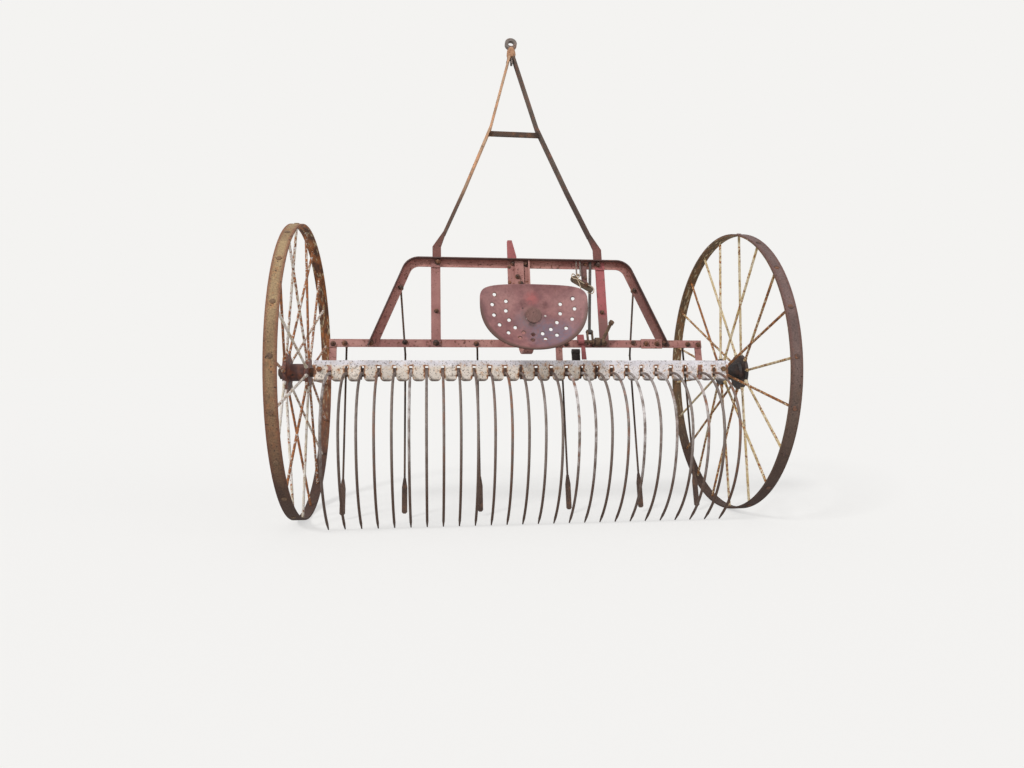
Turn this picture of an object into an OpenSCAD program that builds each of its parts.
// Sulky dump rake, parked on its teeth with the frame tipped up.
// Millimetres. X runs along the axle, Y points the way it is towed, Z is up,
// and the origin is on the ground below the middle of the axle.

/* [Wheels] */
// Outside diameter of a wheel
wheel_d = 1400; // [1300:10:1450]
// Distance between the middles of the two tyres
track = 2127; // [2110:1:2160]
// Width of the flat tyre
tyre_w = 52; // [40:1:60]
// Thickness of the flat tyre
tyre_t = 9; // [6:1:14]
// Spokes in one wheel
spoke_n = 20; // [16:2:24]
// Diameter of a spoke
spoke_d = 12; // [9:1:14]
// Angle of the first spoke from straight up, towards the rear
spoke_turn = -6; // [-9:1:9]
// Length of the hub
hub_len = 114; // [100:1:130]
// How far the middle of the hub lies outside the middle of the tyre
hub_out = 29; // [24:1:34]
// Diameter of the hub between its flanges
hub_d = 84; // [76:1:96]
// Diameter of the inner hub flange
inner_flange_d = 134; // [124:1:150]
// Diameter of the outer hub flange
outer_flange_d = 180; // [170:1:190]
// Thickness of a hub flange
flange_t = 16; // [14:1:20]

/* [Axle] */
// Diameter of the axle between the wheels
axle_d = 44; // [40:1:50]
// Diameter of the journals that the hubs turn on
journal_d = 36; // [30:1:38]
// Free play of a hub along the axle, each side
side_play = 0.5; // [0.3:0.1:1]
// Radial running clearance of the hubs and the frame bearings
run_clear = 0.1; // [0.05:0.01:0.1]
// Thickness of the washer outside each hub
washer_t = 8; // [5:1:10]
// Width across the flats of the end nuts
nut_af = 56; // [50:1:62]
// Height of the end nuts
nut_h = 18; // [14:1:22]

/* [Rake head] */
// Number of teeth
tine_n = 26; // [22:2:26]
// Distance from tooth to tooth
pitch = 73; // [70:1:74]
// Diameter of the tooth steel
tine_d = 12; // [10:1:13]
// Distance of the comb plate behind the axle
comb_back = 206; // [196:1:216]
// Height of the comb plate
comb_h = 97; // [92:1:104]
// Height of the comb plate's top above the axle
comb_top = 58; // [53:1:62]
// Thickness of the comb iron
comb_t = 6; // [5:1:8]
// Width of the comb's top flange
comb_flange = 56; // [40:1:60]
// Width of a slot in the comb
slot_w = 14; // [14:1:16]
// Depth of a slot from the lower edge
slot_h = 70; // [64:1:74]
// Radius of the rounded corners between the slots
lobe_r = 20; // [14:1:22]
// Solid comb beyond the outer slots
comb_end = 71; // [60:1:76]
// Distance of the tooth rod behind the axle
rod_back = 75; // [70:1:90]
// Diameter of the tooth rod
rod_d = 12; // [10:1:14]
// Height of the teeth at the comb, from the axle, below when negative
tine_z = -2; // [-6:1:4]
// Radius of the upper bend of a tooth
bend_r = 258; // [240:1:280]
// Length of the straight part of a tooth, rod to bend
lead_len = 167; // [150:1:180]
// Radius of the lower sweep of a tooth
sweep_r = 548; // [520:1:620]
// Length of the pointed tip of a tooth
tip_len = 45; // [30:1:60]
// Thickness of the arms that carry the comb
arm_t = 12; // [10:1:16]
// Height of the arms
arm_h = 36; // [30:1:38]

/* [Frame] */
// Angle of the frame above level as it is parked
park_angle = 75; // [70:1:78]
// Leg of the frame's angle irons
iron_leg = 40; // [35:1:42]
// Thickness of the angle irons
iron_t = 5; // [4:1:7]
// Distance of the cross bar ahead of the axle
bar_fore = 130; // [125:1:140]
// Length of the cross bar
bar_len = 1900; // [1880:1:1910]
// Distance of the hoop's front edge ahead of the axle
hoop_fore = 597; // [585:1:620]
// Half the width of the hoop at the cross bar
hoop_half = 764; // [740:1:790]
// Half the width of the hoop at its sharp front corner
hoop_corner = 573; // [555:1:590]
// Outside radius of the hoop's bends
hoop_bend = 90; // [80:1:110]
// Distance of each stay from the middle
stay_x = 430; // [422:1:440]
// Width of the stays
stay_w = 48; // [40:1:50]
// Thickness of the stays
stay_t = 6; // [5:1:8]
// Distance of the outer bearings from the middle
bearing_x = 932; // [925:1:934]
// Distance of the inner bearing from the middle
mid_bearing_x = 194; // [185:1:205]
// Outside diameter of a frame bearing
bearing_d = 72; // [66:1:80]
// Length of a frame bearing along the axle
bearing_len = 34; // [30:1:36]

/* [Drawbar] */
// Height of the drawbar flats, on edge
leg_w = 44; // [36:1:48]
// Thickness of the drawbar flats
leg_t = 12; // [9:1:13]
// Distance of the towing eye ahead of the axle
eye_fore = 1921; // [1900:1:1960]
// Outside diameter of the towing eye
eye_d = 68; // [60:1:76]
// Bore of the towing eye
eye_bore = 34; // [28:1:38]
// Thickness of the towing eye
eye_t = 20; // [16:1:24]
// Distance of each drawbar foot from the middle
foot_x = 424; // [416:1:432]
// Distance of the brace ahead of the axle
brace_fore = 1345; // [1320:1:1360]
// Width of the brace
brace_w = 30; // [24:1:36]
// Thickness of the brace
brace_t = 8; // [6:1:10]

/* [Seat] */
// Height of the seat above the frame
seat_h = 343; // [330:1:355]
// Distance of the seat's bolt ahead of the axle
seat_fore = 180; // [174:1:190]
// Distance of the seat's middle to the right
seat_x = 12; // [0:1:20]
// Width of the seat
seat_w = 484; // [440:1:500]
// Seat in front of its widest place
seat_front = 104; // [95:1:115]
// Seat behind its widest place
seat_rear = 208; // [195:1:220]
// Rise of the seat's edge at the sides and the rear
seat_rise = 44; // [36:1:52]
// Rise of the seat's front edge
front_rise = 12; // [6:1:20]
// Thickness of the seat plate
seat_t = 4; // [3:1:5]
// Diameter of the holes in the seat
seat_hole_d = 15; // [12:1:17]
// Width of the seat spring
spring_w = 46; // [40:1:54]
// Thickness of the seat spring
spring_t = 8; // [7:1:10]
// Distance of the rear of the seat spring's bow ahead of the axle
bow_fore = 45; // [40:1:60]

/* [Stripper rods] */
// Diameter of the stripper rods
strip_d = 10; // [8:1:12]
// Depth of the rods below the frame
strip_drop = 75; // [72:1:80]
// Reach of the rods behind the axle
strip_reach = 680; // [640:1:690]
// Length of the blade at the end of a rod
blade_len = 170; // [150:1:180]
// Width of the blade
blade_w = 26; // [22:1:30]

/* [Latch and pedal] */
// Distance of the latch plate's middle to the right
latch_x = 343; // [338:1:346]
// Reach of the latch plate back from the hoop's front edge
latch_len = 142; // [135:1:150]
// Width of the latch plate
latch_w = 30; // [26:1:34]
// Thickness of the latch and lever plates
lever_t = 8; // [6:1:9]
// Distance of the trip rod's lower end to the right
trip_x = 350; // [348:1:352]
// Distance of the trip rod's upper end to the right
trip_top_x = 378; // [374:1:382]
// Diameter of the trip rod
trip_d = 15; // [12:1:15]
// Diameter of the pedal shaft
shaft_d = 14; // [12:1:16]
// Reach of the dump arm from the axle's middle to its pin
dump_r = 106; // [100:1:108]

/* [Hidden] */
$fn = 48;

axle_h = wheel_d / 2;
hub_x = track / 2 + hub_out;
hub_in = hub_x - hub_len / 2;
hub_end = hub_x + hub_len / 2;
axle_half = hub_end + side_play + washer_t + nut_h + 6;
nut_d = nut_af / cos(30);
hub_root = 10;
tyre_in_r = axle_h - tyre_t;
tine_x = [for (i = [0:tine_n - 1]) (i - (tine_n - 1) / 2) * pitch];
comb_half = (tine_n - 1) / 2 * pitch + comb_end;
comb_low = comb_top - comb_h;
bend_y = -(rod_back + lead_len);
back_y = bend_y - bend_r;
sweep_z = tine_z - bend_r;
tip_d = tine_d / 2;
// Angle of the lower sweep that brings the tips down to the ground
sweep_a = asin((axle_h + sweep_z) / norm([sweep_r + tip_d / 2, tip_len]))
    - atan(tip_len / (sweep_r + tip_d / 2));
arm_x = [for (k = [-11, -5, 0, 5, 11]) k * pitch];
rod_eye_d = rod_d + 22;
// Pad of an arm behind the comb: width, thickness, gap above the comb's lower edge
pad_w = 50;
pad_t = 8;
pad_gap = 12;
// Wall of the bosses that are clamped on the axle
boss_wall = 14;
// Bolt at each end of the comb: in from the end, below the top, width across corners, length
end_bolt_in = 25;
end_bolt_down = 40;
end_bolt_d = 26;
end_bolt_len = 12;
// Dump arm on the axle: middle, to the right, half width, thickness, width of its end, pin bore
dump_x = 278;
dump_half = 20;
dump_t = 18;
dump_end_d = 30;
dump_bore = 14;
hoop_a = atan((hoop_half - hoop_corner) / (hoop_fore - bar_fore));
side_len = norm([hoop_half - hoop_corner, hoop_fore - bar_fore])
    - hoop_bend * tan((90 - hoop_a) / 2);
hoop_cx = hoop_half - side_len * sin(hoop_a) - hoop_bend * cos(hoop_a);
hoop_steps = 14;
stay_top = hoop_fore - iron_leg;
// Bent stretch of a drawbar flat, between its flat foot and the bar on edge
twist_from = hoop_fore + 75;
twist_to = twist_from + 73;
// Drawbar flat, from the end of its twist up to the eye: ahead, half width
leg_path = [[twist_to, 385], [1000, 277], [1380, 128], [1830, 12]];
leg_n = -leg_t / 2;
leg_slope = atan((leg_path[1][1] - leg_path[2][1]) / (leg_path[2][0] - leg_path[1][0]));
// Gap between plates that are bolted or welded side by side
seam = 0.3;
plate_t = 6;
// Seat spring: middle of its lower arm, of its upper arm, and the radii of its bow
spring_low = iron_t + plate_t + spring_t / 2;
spring_high = seat_h - spring_t / 2;
bow_top_r = seat_fore - 12 - bow_fore;
bow_low_r = spring_high - spring_low - bow_top_r;
seat_mid = seat_fore + 39;
// Rows of holes in the seat: holes, first angle, last angle, half width, half depth
seat_rows = [[13, 160, 374, 190, 163], [11, 168, 367, 128, 134]];
// Rings of the seat plate from the middle out: share of the outline, lift above the dish
seat_rings = [[0.15, 0], [0.34, 0], [0.5, 0], [0.64, 0], [0.76, 0], [0.87, 0], [0.96, 0]];
// Rolled edge of the seat, from the inside over the top: beyond the outline, above the dish
seat_bead = [[-5, 2], [-1, 4], [3, 2], [4, -3], [1, -8], [-4, -8]];
seat_sides = 48;
disc_r = 36;
disc_t = 5;
// Nut below the seat: width across corners, height
seat_nut_d = 26;
seat_nut_h = 12;
// Folded bracket under the seat spring: length, width, left of the middle, fold's thickness, height
bracket_len = 142;
bracket_w = 114;
bracket_left = 60;
fold_t = 8;
fold_h = 25;
// Pedal shaft: ahead of the axle, above the frame
shaft_fore = bar_fore + 20;
shaft_n = 32;
shaft_from = 283;
shaft_to = 430;
// Pin of the fork on the pedal shaft, ahead of the axle and above the frame
fork_fore = shaft_fore + 55;
fork_n = shaft_n - 8;
fork_gap = trip_d + 4;
lever_n = iron_t + plate_t + trip_d + 2;
// Ends of the latch lever: to the right, ahead, radius
latch_ends = [[latch_x - 61, hoop_fore - 109, 18], [latch_x + 23, hoop_fore - 165, 14]];
lever_steps = 12;
// Blade of a stripper rod: its tapered length, its cut corners, the rod's lap on it
blade_taper = 45;
blade_cut = 7;
blade_lap = 20;
strip_eye_d = 28;
// Stripper rods, from the middle outward: gap number, start farther out, start ahead, start depth
strip_table = [[3, 10, bar_fore + 18, iron_t], [8, 22, 441, 0], [12, 0, bar_fore + 18, iron_t]];

module tipped() {
    translate([0, 0, axle_h]) rotate([park_angle, 0, 0]) children();
}

module at_axle() {
    translate([0, 0, axle_h]) children();
}

// Round bar between two points
module rod(from, to, d) {
    v = to - from;
    translate(from) rotate([0, acos(v[2] / norm(v)), atan2(v[1], v[0])])
        cylinder(h = norm(v), d = d, $fn = 24);
}

// Round bar along X
module bar_x(x0, x1, d, fn = 48) {
    translate([x0, 0, 0]) rotate([0, 90, 0]) cylinder(h = x1 - x0, d = d, $fn = fn);
}

module axle() {
    color("#5a4034") at_axle() {
        bar_x(-hub_in + side_play, hub_in - side_play, axle_d, 64);
        bar_x(-axle_half, axle_half, journal_d, 64);
    }
}

module axle_nuts() {
    color("#5b3d2e") at_axle() for (s = [0, 1]) mirror([s, 0, 0]) {
        washer_x = hub_end + side_play;
        difference() {
            union() {
                bar_x(washer_x, washer_x + washer_t, nut_d + 6);
                bar_x(washer_x + washer_t, washer_x + washer_t + nut_h, nut_d, 6);
            }
            bar_x(washer_x - 1, axle_half + 1, journal_d, 64);
        }
    }
}

module head_arm() {
    arm_y = -comb_back + pad_t;
    difference() {
        union() {
            bar_x(-arm_t, arm_t, axle_d + 2 * boss_wall, 64);
            translate([-arm_t / 2, arm_y, tine_z - arm_h / 2])
                cube([arm_t, -arm_y - axle_d / 2, arm_h]);
            translate([-pad_w / 2, -comb_back, comb_low + pad_gap])
                cube([pad_w, pad_t, comb_h - comb_t - pad_gap - 2]);
        }
        bar_x(-arm_t - 1, arm_t + 1, axle_d, 64);
        translate([0, -rod_back, tine_z]) bar_x(-arm_t, arm_t, rod_d, 32);
    }
}

module head_arms() {
    color("#4a352c") at_axle() for (x = arm_x) translate([x, 0, 0]) head_arm();
}

module tine_rod() {
    half = tine_x[tine_n - 1] + 30;
    color("#5a4034") at_axle() translate([0, -rod_back, tine_z]) bar_x(-half, half, rod_d, 32);
}

// One slot of the comb with its flared mouth, on the lower edge at zero
module comb_slot() {
    translate([-slot_w / 2, -1]) square([slot_w, slot_h + 1]);
    difference() {
        translate([-slot_w / 2 - lobe_r, -1]) square([slot_w + 2 * lobe_r, lobe_r + 1]);
        for (s = [-1, 1]) translate([s * (slot_w / 2 + lobe_r), lobe_r]) circle(lobe_r);
    }
}

module comb() {
    color("#d9d4c8") at_axle() {
        translate([0, -comb_back, comb_low]) rotate([90, 0, 0]) linear_extrude(comb_t)
            difference() {
                translate([-comb_half, 0]) square([2 * comb_half, comb_h]);
                for (x = tine_x) translate([x, 0]) comb_slot();
            }
        translate([-comb_half, -comb_back, comb_top - comb_t])
            cube([2 * comb_half, comb_flange, comb_t]);
    }
}

module comb_bolts() {
    color("#6b4026") at_axle() for (s = [-1, 1])
        translate([s * (comb_half - end_bolt_in), -comb_back - comb_t, comb_top - end_bolt_down])
            rotate([90, 0, 0]) cylinder(h = end_bolt_len, d = end_bolt_d, $fn = 6);
}

module dump_arm() {
    color("#3a2c26") at_axle() rotate([park_angle - 90, 0, 0]) translate([dump_x, 0, 0])
        difference() {
            union() {
                bar_x(-dump_half, dump_half, axle_d + 2 * boss_wall - 2, 64);
                translate([-dump_half, -dump_t / 2, axle_d / 2])
                    cube([2 * dump_half, dump_t, dump_r - axle_d / 2]);
                translate([0, 0, dump_r]) bar_x(-dump_half, dump_half, dump_end_d, 32);
            }
            bar_x(-dump_half - 1, dump_half + 1, axle_d, 64);
            translate([0, 0, dump_r]) bar_x(-dump_half - 1, dump_half + 1, dump_bore, 32);
        }
}

// One tooth, its rod eye at Y = -rod_back
module tine() {
    difference() {
        translate([0, -rod_back, tine_z]) bar_x(-8, 8, rod_eye_d, 32);
        translate([0, -rod_back, tine_z]) bar_x(-9, 9, rod_d, 32);
    }
    rod([0, -rod_back - rod_eye_d / 2 + 2, tine_z], [0, bend_y, tine_z], tine_d);
    translate([0, bend_y, sweep_z]) rotate([0, 90, 0]) rotate([0, 0, 180])
        rotate_extrude(angle = 90, $fn = 64) translate([bend_r, 0]) circle(d = tine_d, $fn = 24);
    translate([0, back_y + sweep_r, sweep_z]) {
        rotate([0, 90, 0]) rotate([0, 0, 270])
            rotate_extrude(angle = sweep_a, $fn = 96)
            translate([sweep_r, 0]) circle(d = tine_d, $fn = 24);
        rotate([sweep_a, 0, 0]) translate([0, -sweep_r, 2]) rotate([180, 0, 0])
            cylinder(h = tip_len + 2, d1 = tine_d - 0.3, d2 = tip_d, $fn = 24);
    }
}

module tines_left() {
    color("#6d4a3c") at_axle() for (i = [0:tine_n / 2 - 1]) translate([tine_x[i], 0, 0]) tine();
}

module tines_right() {
    color("#6d4a3c") at_axle()
        for (i = [tine_n / 2:tine_n - 1]) translate([tine_x[i], 0, 0]) tine();
}

// Wheel parts for the right side, X outward
module tyre() {
    translate([track / 2 - tyre_w / 2, 0, 0]) rotate([0, 90, 0])
        rotate_extrude($fn = 180) translate([tyre_in_r, 0]) square([tyre_t, tyre_w]);
}

// Hub turned from its half section, with a bevelled root at each flange
module hub() {
    bore_r = journal_d / 2 + run_clear;
    hub_r = hub_d / 2;
    rotate([0, 90, 0]) rotate_extrude($fn = 64)
        polygon([[bore_r, hub_in], [inner_flange_d / 2, hub_in],
            [inner_flange_d / 2, hub_in + flange_t], [hub_r + hub_root, hub_in + flange_t],
            [hub_r, hub_in + flange_t + hub_root], [hub_r, hub_end - flange_t - hub_root],
            [hub_r + hub_root, hub_end - flange_t], [outer_flange_d / 2, hub_end - flange_t],
            [outer_flange_d / 2, hub_end], [bore_r, hub_end]]);
}

// Every second spoke, from the edge of one hub flange to the middle of the tyre
module spoke_row(first, flange_x, flange_r) {
    run = track / 2 - flange_x;
    rise = axle_h - flange_r;
    intersection() {
        for (i = [first:2:spoke_n - 1]) rotate([i * 360 / spoke_n + spoke_turn, 0, 0])
            translate([flange_x - run * 0.02, 0, flange_r - rise * 0.02])
            rotate([0, atan2(run, rise), 0])
            cylinder(h = norm([run, rise]) * 1.04, d = spoke_d, $fn = 24);
        translate([hub_in - spoke_d, 0, 0]) rotate([0, 90, 0]) rotate_extrude($fn = 180)
            translate([flange_r, 0]) square([tyre_in_r - flange_r, hub_len + 2 * spoke_d]);
    }
}

module spokes() {
    spoke_row(0, hub_in + flange_t / 2, inner_flange_d / 2);
    spoke_row(1, hub_end - flange_t / 2, outer_flange_d / 2);
}

module wheel_side(s) {
    at_axle() mirror([s < 0 ? 1 : 0, 0, 0]) children();
}

module wheel_left_tyre() {
    color("#7a5238") wheel_side(-1) tyre();
}

module wheel_left_spokes() {
    color("#9a8064") wheel_side(-1) spokes();
}

module wheel_left_hub() {
    color("#4a3030") wheel_side(-1) hub();
}

module wheel_right_tyre() {
    color("#7a5238") wheel_side(1) tyre();
}

module wheel_right_spokes() {
    color("#9a8064") wheel_side(1) spokes();
}

module wheel_right_hub() {
    color("#4a3030") wheel_side(1) hub();
}

module cross_bar() {
    color("#8a3f3c") tipped() translate([-bar_len / 2, bar_fore, 0]) {
        translate([0, 0, -iron_t]) cube([bar_len, iron_leg, iron_t]);
        translate([0, iron_leg - iron_t, -iron_leg]) cube([bar_len, iron_t, iron_leg]);
    }
}

// Right half of a line that runs inside the hoop's outer edge at the given depth
function hoop_half_line(depth) = concat(
    [[hoop_half - depth / cos(hoop_a), bar_fore]],
    [for (i = [0:hoop_steps]) let (a = hoop_a + (90 - hoop_a) * i / hoop_steps)
        [hoop_cx, hoop_fore - hoop_bend] + (hoop_bend - depth) * [cos(a), sin(a)]]);

function mirrored(points) = [for (i = [len(points) - 1:-1:0]) [-points[i][0], points[i][1]]];

function hoop_line(depth) = concat(hoop_half_line(depth), mirrored(hoop_half_line(depth)));

function reversed(points) = [for (i = [len(points) - 1:-1:0]) points[i]];

module hoop() {
    color("#8a3f3c") tipped() {
        linear_extrude(iron_t) polygon(concat(hoop_line(0), reversed(hoop_line(iron_leg))));
        translate([0, 0, iron_t]) linear_extrude(iron_leg - iron_t)
            polygon(concat(hoop_line(0), reversed(hoop_line(iron_t))));
    }
}

module stay() {
    step = stay_top - seam - stay_t;
    translate([-stay_w / 2, bar_fore, 0]) cube([stay_w, step + stay_t - bar_fore, stay_t]);
    translate([-stay_w / 2, step, 0]) cube([stay_w, stay_t, iron_t + stay_t]);
    translate([-stay_w / 2, step, iron_t])
        cube([stay_w, hoop_fore - iron_t - 2 - step, stay_t]);
}

module stay_left() {
    color("#a04a4a") tipped() translate([-stay_x, 0, 0]) stay();
}

module stay_right() {
    color("#b04b50") tipped() translate([stay_x, 0, 0]) stay();
}

// Bearing ring on the axle with its strap up to the cross bar
module bearing(w) {
    difference() {
        union() {
            bar_x(-w / 2, w / 2, bearing_d, 64);
            translate([-w / 2, axle_d / 2, -iron_t - 8])
                cube([w, bar_fore + iron_leg - iron_t - axle_d / 2 - 1, 8]);
        }
        bar_x(-w / 2 - 1, w / 2 + 1, axle_d + 2 * run_clear, 64);
    }
}

module bearing_left() {
    color("#84444a") tipped() translate([-bearing_x, 0, 0]) bearing(bearing_len);
}

module bearing_right() {
    color("#84444a") tipped() translate([bearing_x, 0, 0]) bearing(bearing_len);
}

module bearing_middle() {
    color("#84444a") tipped() translate([mid_bearing_x, 0, 0]) bearing(bearing_len);
}

module foot_plate() {
    foot_plate_w = 110;
    color("#8a4a45") tipped() translate([hoop_half - 31 - foot_plate_w, bar_fore - 7, iron_t])
        cube([foot_plate_w, iron_leg + 10, plate_t]);
}

// One side of the leg's path, shifted square to its runs
function leg_side(shift) = [for (i = [0:len(leg_path) - 1]) let (
        p = leg_path[i],
        u = unit(i == 0 ? leg_path[1] - p : p - leg_path[i - 1]),
        v = unit(i == len(leg_path) - 1 ? u : leg_path[i + 1] - p),
        m = unit(u + v))
    [p[1] + shift * m[0] / (m * u), p[0] - shift * m[1] / (m * u)]];

function unit(v) = v / norm(v);

module drawbar_leg() {
    translate([0, 0, leg_n - leg_w / 2]) linear_extrude(leg_w)
        polygon(concat(leg_side(leg_t / 2), reversed(leg_side(-leg_t / 2))));
    // twist from the flat foot to the bar on edge
    hull() {
        translate([leg_path[0][1] - leg_t / 2 + 0.6, twist_to + 2, leg_n + 0.6 - leg_w / 2])
            cube([leg_t - 1.2, 2, leg_w - 1.2]);
        translate([foot_x - leg_w / 2 + 0.6, twist_from - 2, 0.6 - leg_t])
            cube([leg_w - 1.2, 2, leg_t - 1.2]);
    }
    translate([foot_x - leg_w / 2, stay_top + 8, -leg_t])
        cube([leg_w, twist_from - stay_top - 8, leg_t]);
}

module drawbar_leg_right() {
    color("#8a5a44") tipped() drawbar_leg();
}

module drawbar_leg_left() {
    color("#a8714f") tipped() mirror([1, 0, 0]) drawbar_leg();
}

function leg_at(y) = lookup(y, leg_path);

// Half the clear width between the legs
function leg_in(y) = leg_at(y) - leg_t / 2 / cos(leg_slope) - seam;

module drawbar_brace() {
    low = brace_fore - brace_w / 2;
    high = brace_fore + brace_w / 2;
    color("#8a5a44") tipped() translate([0, 0, leg_n - brace_t / 2]) linear_extrude(brace_t)
        polygon([[-leg_in(low), low], [leg_in(low), low],
            [leg_in(high), high], [-leg_in(high), high]]);
}

module drawbar_eye() {
    leg_end = leg_path[len(leg_path) - 1];
    stem_w = 2 * leg_end[1] - leg_t - 1;
    color("#9a8f88") tipped() translate([0, 0, leg_n]) difference() {
        union() {
            translate([0, eye_fore, -eye_t / 2]) cylinder(h = eye_t, d = eye_d, $fn = 64);
            translate([-stem_w / 2, leg_end[0] - 40, -leg_w / 2 + 8])
                cube([stem_w, eye_fore - leg_end[0] + 40 - eye_bore / 2 - 4, leg_w - 16]);
        }
        translate([0, eye_fore, -eye_t]) cylinder(h = 2 * eye_t, d = eye_bore, $fn = 64);
    }
}

// Sine or cosine drawn out toward square corners
function squared(v, power) = sign(v) * pow(abs(v), 2 / power);

// Outline of the seat at an angle: to the right, ahead, from its widest place
function seat_edge(a) = sin(a) > 0
    ? [seat_w / 2 * squared(cos(a), 4), seat_front * squared(sin(a), 4)]
    : [seat_w / 2 * squared(cos(a), 2.2), seat_rear * squared(sin(a), 2.2)];

// Height of the dish at a share of the outline, flat in the middle
function seat_dish(a, share) = pow(max(0, (share - 0.45) / 0.55), 2)
    * (seat_rise - (seat_rise - front_rise) * pow(max(0, sin(a)), 1.5));

function seat_point(a, share, out, lift) = let (e = seat_edge(a), p = e * (share + out / norm(e)))
    [p[0], p[1], seat_dish(a, min(share, 1)) + lift];

function seat_ring(share, out, lift) =
    [for (k = [0:seat_sides - 1]) seat_point(360 * k / seat_sides, share, out, lift)];

// The dished plate with its rolled edge, one skin from the middle out and back underneath
module seat_pan() {
    count = len(seat_rings);
    rings = concat(
        [for (r = seat_rings) seat_ring(r[0], 0, seat_t)],
        [for (b = seat_bead) seat_ring(1, b[0], b[1])],
        [for (i = [count - 1:-1:0]) seat_ring(seat_rings[i][0], 0, 0)]);
    last = len(rings) - 1;
    points = [for (ring = rings) for (p = ring) p];
    skin = [for (i = [0:last - 1], k = [0:seat_sides - 1]) let (
            a = i * seat_sides + k,
            b = i * seat_sides + (k + 1) % seat_sides)
        each [[a, a + seat_sides, b], [b, a + seat_sides, b + seat_sides]]];
    top = [for (k = [0:seat_sides - 1]) k];
    bottom = [for (k = [seat_sides - 1:-1:0]) last * seat_sides + k];
    polyhedron(points, concat([reversed(top)], [reversed(bottom)], skin), convexity = 6);
}

module seat() {
    color("#b0706c") tipped() translate([seat_x, seat_mid, seat_h]) difference() {
        seat_pan();
        for (row = seat_rows, i = [0:row[0] - 1]) {
            a = row[1] + (row[2] - row[1]) * i / (row[0] - 1);
            translate([row[3] * cos(a), row[4] * sin(a), -1])
                cylinder(h = seat_rise + seat_t + 2, d = seat_hole_d, $fn = 16);
        }
    }
}

module seat_boss() {
    color("#9c6a62") tipped() translate([seat_x, seat_fore, 0]) {
        translate([0, 0, seat_h + seat_t]) cylinder(h = disc_t, r = disc_r);
        translate([0, 0, seat_h - spring_t - seat_nut_h])
            cylinder(h = seat_nut_h, d = seat_nut_d, $fn = 6);
    }
}

module seat_spring() {
    color("#8a4a45") tipped() translate([-spring_w / 2, 0, 0]) {
        translate([0, bow_fore + bow_low_r, spring_low - spring_t / 2])
            cube([spring_w, hoop_fore - iron_t - 2 - bow_fore - bow_low_r, spring_t]);
        translate([0, bow_fore + bow_low_r, spring_low + bow_low_r]) rotate([90, 0, 90])
            rotate([0, 0, 180]) rotate_extrude(angle = 90, $fn = 128)
            translate([bow_low_r - spring_t / 2, 0]) square([spring_t, spring_w]);
        translate([0, bow_fore + bow_top_r, spring_high - bow_top_r]) rotate([90, 0, 90])
            rotate([0, 0, 90]) rotate_extrude(angle = 90, $fn = 128)
            translate([bow_top_r - spring_t / 2, 0]) square([spring_t, spring_w]);
        translate([0, bow_fore + bow_top_r, spring_high - spring_t / 2])
            cube([spring_w, 68, spring_t]);
    }
}

// Folded bracket on the hoop that the seat spring is bolted to
module seat_plate() {
    length = bracket_len - iron_t - 2;
    color("#8c4a46") tipped() translate([-bracket_left, hoop_fore - bracket_len, iron_t]) {
        cube([bracket_w, length, plate_t]);
        translate([bracket_w - fold_t, 0, 0]) cube([fold_t, length, fold_h]);
    }
}

module footrest_tongue() {
    color("#a85b62") tipped() translate([0, hoop_fore, -plate_t]) linear_extrude(plate_t)
        polygon([[-58, -32], [-10, -32], [-10, 26], [-32, 118], [-54, 118], [-58, 110]]);
}

module strip_rod(row) {
    start = [row[1], row[2], -row[3] - strip_d / 2 - 1];
    knee = [0, row[2] > 2 * bar_fore ? bar_fore - 20 : row[2], -strip_drop];
    end = [0, blade_len - blade_lap - strip_reach, -strip_drop];
    neck = strip_d / 2 + 1;
    translate([row[1], row[2], -row[3] - plate_t]) cylinder(h = plate_t, d = strip_eye_d, $fn = 32);
    rod(start, knee, strip_d);
    translate(knee) sphere(d = strip_d + 2, $fn = 24);
    rod(knee, end, strip_d);
    translate([0, -strip_reach, -strip_drop - plate_t / 2]) linear_extrude(plate_t)
        polygon([[-neck, blade_len], [neck, blade_len],
            [blade_w / 2, blade_len - blade_taper], [blade_w / 2, blade_cut],
            [blade_w / 2 - blade_cut, 0], [blade_cut - blade_w / 2, 0],
            [-blade_w / 2, blade_cut], [-blade_w / 2, blade_len - blade_taper]]);
}

module stripper_rods_left() {
    color("#6b4a3a") tipped() for (row = strip_table)
        mirror([1, 0, 0]) translate([row[0] * pitch, 0, 0]) strip_rod(row);
}

module stripper_rods_right() {
    color("#6b4a3a") tipped() for (row = strip_table)
        translate([row[0] * pitch, 0, 0]) strip_rod(row);
}

module latch_plate() {
    pivot = (latch_ends[0] * 0.28 + latch_ends[1] * 0.72);
    color("#74504a") tipped() {
        translate([latch_x - latch_w / 2, hoop_fore - latch_len, iron_t])
            cube([latch_w, latch_len - iron_t - 2, plate_t]);
        translate([latch_x, pivot[1] + 12, iron_t + 1])
            cylinder(h = lever_n - iron_t - 1, d = 22, $fn = 32);
    }
}

// Round end of the latch lever, from one of its straight edges to the other
function lever_end(row, from, to) = [for (i = [0:lever_steps])
    let (a = from + (to - from) * i / lever_steps)
    [row[0] + row[2] * cos(a), row[1] + row[2] * sin(a)]];

// Flat latch lever with round ends, across the latch plate
module latch_lever() {
    a = latch_ends[0];
    b = latch_ends[1];
    run = [b[0] - a[0], b[1] - a[1]];
    along = atan2(run[1], run[0]);
    edge = acos((a[2] - b[2]) / norm(run));
    color("#6e5340") tipped() translate([0, 0, lever_n]) linear_extrude(lever_t)
        polygon(concat(lever_end(a, along + edge, along + 360 - edge),
            lever_end(b, along - edge, along + edge)));
}

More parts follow.
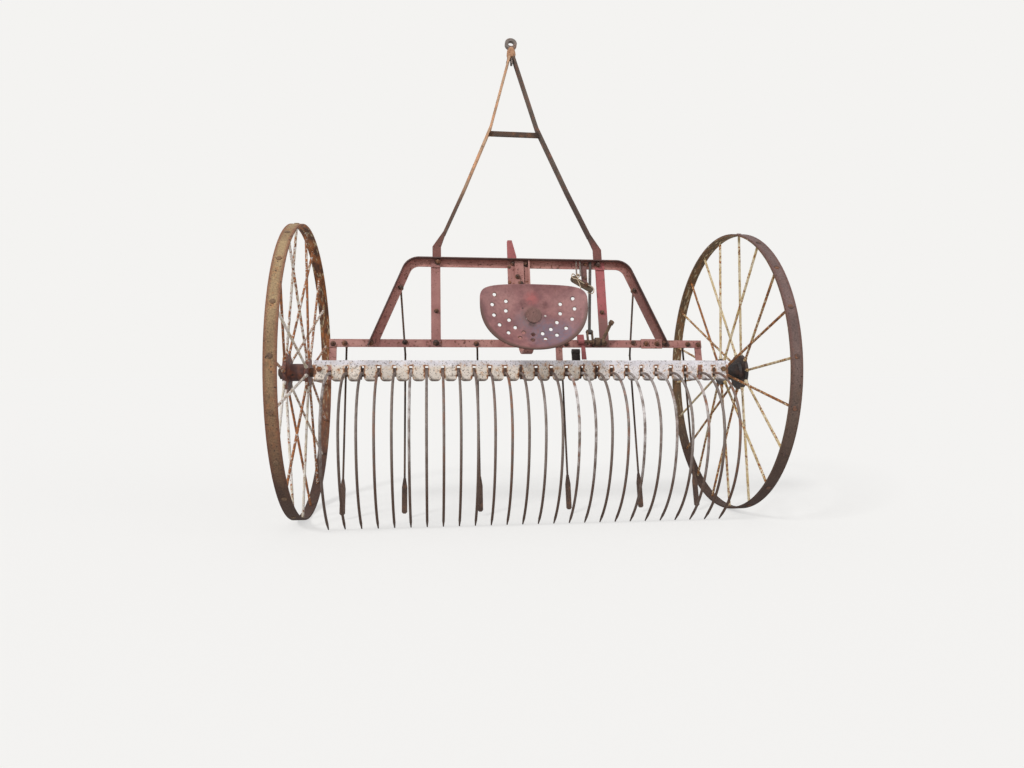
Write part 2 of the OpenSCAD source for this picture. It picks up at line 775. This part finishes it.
// Bent wire shackle on the hoop, in front of the end of the latch lever
module latch_shackle() {
    wire_d = 8;
    wire_n = lever_n - wire_d / 2 - seam;
    low = latch_ends[0][1] + latch_ends[0][2] + wire_d;
    color("#8a7a70") tipped() {
        for (x = [latch_x - 43, latch_x - 23]) {
            rod([x, low, wire_n], [x, hoop_fore - iron_t - seam, wire_n], wire_d);
            translate([x, low, wire_n]) sphere(d = wire_d + 1, $fn = 24);
        }
        translate([0, low, wire_n]) bar_x(latch_x - 43, latch_x - 23, wire_d, 24);
    }
}

module trip_rod() {
    eye_w = fork_gap - 2;
    color("#5a5046") tipped() difference() {
        union() {
            rod([trip_x, fork_fore + 8, fork_n],
                [trip_top_x, hoop_fore - iron_t - 2, iron_t + trip_d / 2 + 1], trip_d);
            translate([trip_x, fork_fore, fork_n]) bar_x(-eye_w / 2, eye_w / 2, 26, 32);
        }
        translate([trip_x, fork_fore, fork_n]) bar_x(-eye_w, eye_w, 10, 32);
    }
}

// Plate that turns with the pedal shaft and pushes on the dump arm
module dump_lever() {
    hang = dump_r + 22;
    color("#a0605a") tipped() difference() {
        union() {
            translate([0, 0, shaft_n - 12]) linear_extrude(lever_t)
                polygon([[284, shaft_fore + 40], [318, shaft_fore + 40], [327, 60],
                    [303, 60], [303, hang], [284, hang + 10]]);
            translate([0, shaft_fore, shaft_n]) bar_x(286, 316, shaft_d + 16, 32);
        }
        translate([0, shaft_fore, shaft_n]) bar_x(280, 330, shaft_d, 32);
    }
}

module pedal_bracket() {
    color("#5d4238") tipped() for (x = [trip_x + 16, trip_x + 48]) difference() {
        translate([x, bar_fore + 2, 0]) rotate([90, 0, 90]) linear_extrude(plate_t)
            polygon([[0, 0], [iron_leg - 4, 0], [iron_leg - 4, 26], [28, 50], [8, 50], [0, 30]]);
        translate([0, shaft_fore, shaft_n]) bar_x(x - 1, x + plate_t + 1, shaft_d, 32);
    }
}

module pedal() {
    prong_t = 6;
    reach = fork_fore - shaft_fore;
    color("#4a3c30") tipped() translate([0, shaft_fore, shaft_n]) {
        bar_x(shaft_from, shaft_to, shaft_d, 32);
        bar_x(trip_x + 24, trip_x + 46, 44, 48);
        bar_x(trip_x + 57, trip_x + 71, 34, 32);
        for (x = [trip_x - fork_gap / 2 - prong_t, trip_x + fork_gap / 2])
            translate([x, 0, 0]) rotate([90, 0, 90]) linear_extrude(prong_t)
                polygon([[-13, -9], [reach, fork_n - shaft_n - 12], [reach + 12, fork_n - shaft_n],
                    [reach, fork_n - shaft_n + 12], [-5, 15], [-13, 9]]);
        translate([0, reach, fork_n - shaft_n]) bar_x(trip_x - fork_gap / 2 - prong_t - 3,
            trip_x + fork_gap / 2 + prong_t + 3, 9.6, 24);
        hull() {
            translate([trip_x + 58, 2, -4]) cube([12, 12, 12]);
            translate([trip_x + 98, 82, 20]) cube([12, 12, 12]);
        }
        translate([trip_x + 104, 88, 26]) rotate([-30, 20, 0]) cylinder(h = 16, d = 26, $fn = 32);
    }
}

axle();
axle_nuts();
head_arms();
tine_rod();
comb();
comb_bolts();
dump_arm();
tines_left();
tines_right();
wheel_left_tyre();
wheel_left_spokes();
wheel_left_hub();
wheel_right_tyre();
wheel_right_spokes();
wheel_right_hub();
cross_bar();
hoop();
stay_left();
stay_right();
bearing_left();
bearing_middle();
bearing_right();
foot_plate();
drawbar_leg_left();
drawbar_leg_right();
drawbar_brace();
drawbar_eye();
seat();
seat_spring();
seat_plate();
seat_boss();
footrest_tongue();
stripper_rods_left();
stripper_rods_right();
latch_plate();
latch_lever();
latch_shackle();
trip_rod();
dump_lever();
pedal_bracket();
pedal();
